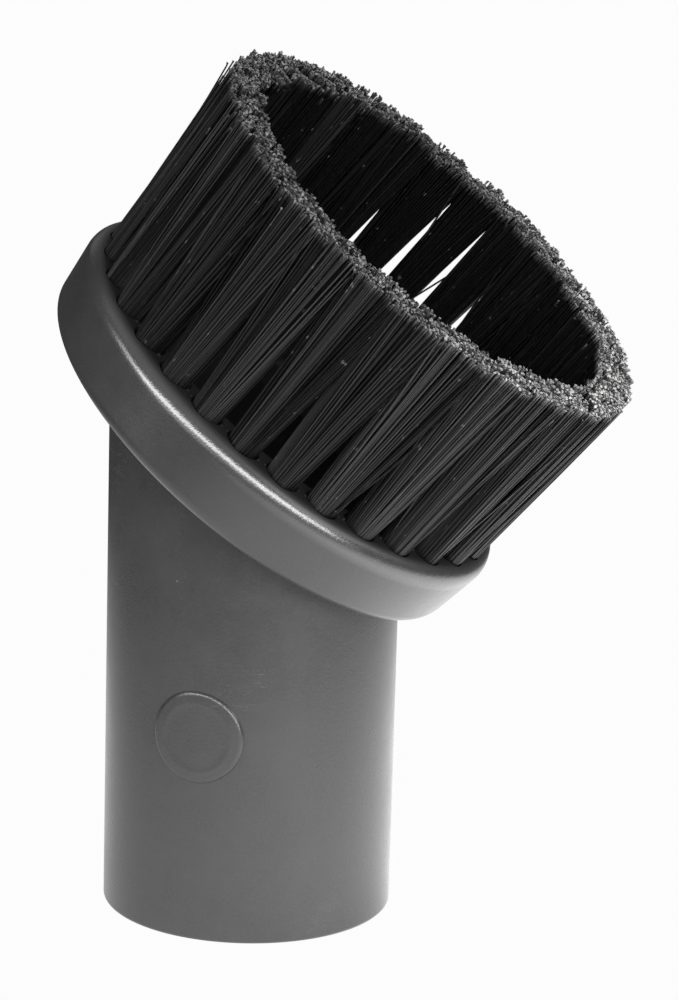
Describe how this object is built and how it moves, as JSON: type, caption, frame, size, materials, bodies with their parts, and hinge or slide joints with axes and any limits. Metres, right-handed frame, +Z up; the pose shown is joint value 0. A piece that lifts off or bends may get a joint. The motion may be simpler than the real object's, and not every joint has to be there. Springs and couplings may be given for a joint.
{
  "type": "vacuum dusting brush",
  "caption": "Vacuum cleaner dusting brush: a moulded push-on socket with a tilted round head, a wide suction opening and a ring of bristle tufts around it.",
  "frame": {"origin": "on the surface that the socket's mouth stands on, under the middle of the whole part; the socket's own axis stands at x = -12.60 mm", "axes": "+Z up along the socket; the head and its bristles lean towards +X; the roundel is on the -Y side"},
  "size_m": [0.0776, 0.0692, 0.1174],
  "materials": {
    "body_grey": "finely grained, satin",
    "bristle_black": "drawn filament, slight sheen",
    "anchor_steel": "flat drawn strip"
  },
  "bodies": {
    "root": {"brush_body": "body_grey", "bristle_tuft_01": "bristle_black", "bristle_tuft_02": "bristle_black", "bristle_tuft_03": "bristle_black", "bristle_tuft_04": "bristle_black", "bristle_tuft_05": "bristle_black", "bristle_tuft_06": "bristle_black", "bristle_tuft_07": "bristle_black", "bristle_tuft_08": "bristle_black", "bristle_tuft_09": "bristle_black", "bristle_tuft_10": "bristle_black", "bristle_tuft_11": "bristle_black", "bristle_tuft_12": "bristle_black", "bristle_tuft_13": "bristle_black", "bristle_tuft_14": "bristle_black", "bristle_tuft_15": "bristle_black", "bristle_tuft_16": "bristle_black", "bristle_tuft_17": "bristle_black", "bristle_tuft_18": "bristle_black", "bristle_tuft_19": "bristle_black", "bristle_tuft_20": "bristle_black", "bristle_tuft_21": "bristle_black", "bristle_tuft_22": "bristle_black", "bristle_tuft_23": "bristle_black", "bristle_tuft_24": "bristle_black", "bristle_tuft_25": "bristle_black", "bristle_tuft_26": "bristle_black", "bristle_tuft_27": "bristle_black", "bristle_tuft_28": "bristle_black", "bristle_tuft_29": "bristle_black", "bristle_tuft_30": "bristle_black", "tuft_anchor_01": "anchor_steel", "tuft_anchor_02": "anchor_steel", "tuft_anchor_03": "anchor_steel", "tuft_anchor_04": "anchor_steel", "tuft_anchor_05": "anchor_steel", "tuft_anchor_06": "anchor_steel", "tuft_anchor_07": "anchor_steel", "tuft_anchor_08": "anchor_steel", "tuft_anchor_09": "anchor_steel", "tuft_anchor_10": "anchor_steel", "tuft_anchor_11": "anchor_steel", "tuft_anchor_12": "anchor_steel", "tuft_anchor_13": "anchor_steel", "tuft_anchor_14": "anchor_steel", "tuft_anchor_15": "anchor_steel", "tuft_anchor_16": "anchor_steel", "tuft_anchor_17": "anchor_steel", "tuft_anchor_18": "anchor_steel", "tuft_anchor_19": "anchor_steel", "tuft_anchor_20": "anchor_steel", "tuft_anchor_21": "anchor_steel", "tuft_anchor_22": "anchor_steel", "tuft_anchor_23": "anchor_steel", "tuft_anchor_24": "anchor_steel", "tuft_anchor_25": "anchor_steel", "tuft_anchor_26": "anchor_steel", "tuft_anchor_27": "anchor_steel", "tuft_anchor_28": "anchor_steel", "tuft_anchor_29": "anchor_steel"}
  },
  "joints": []
}
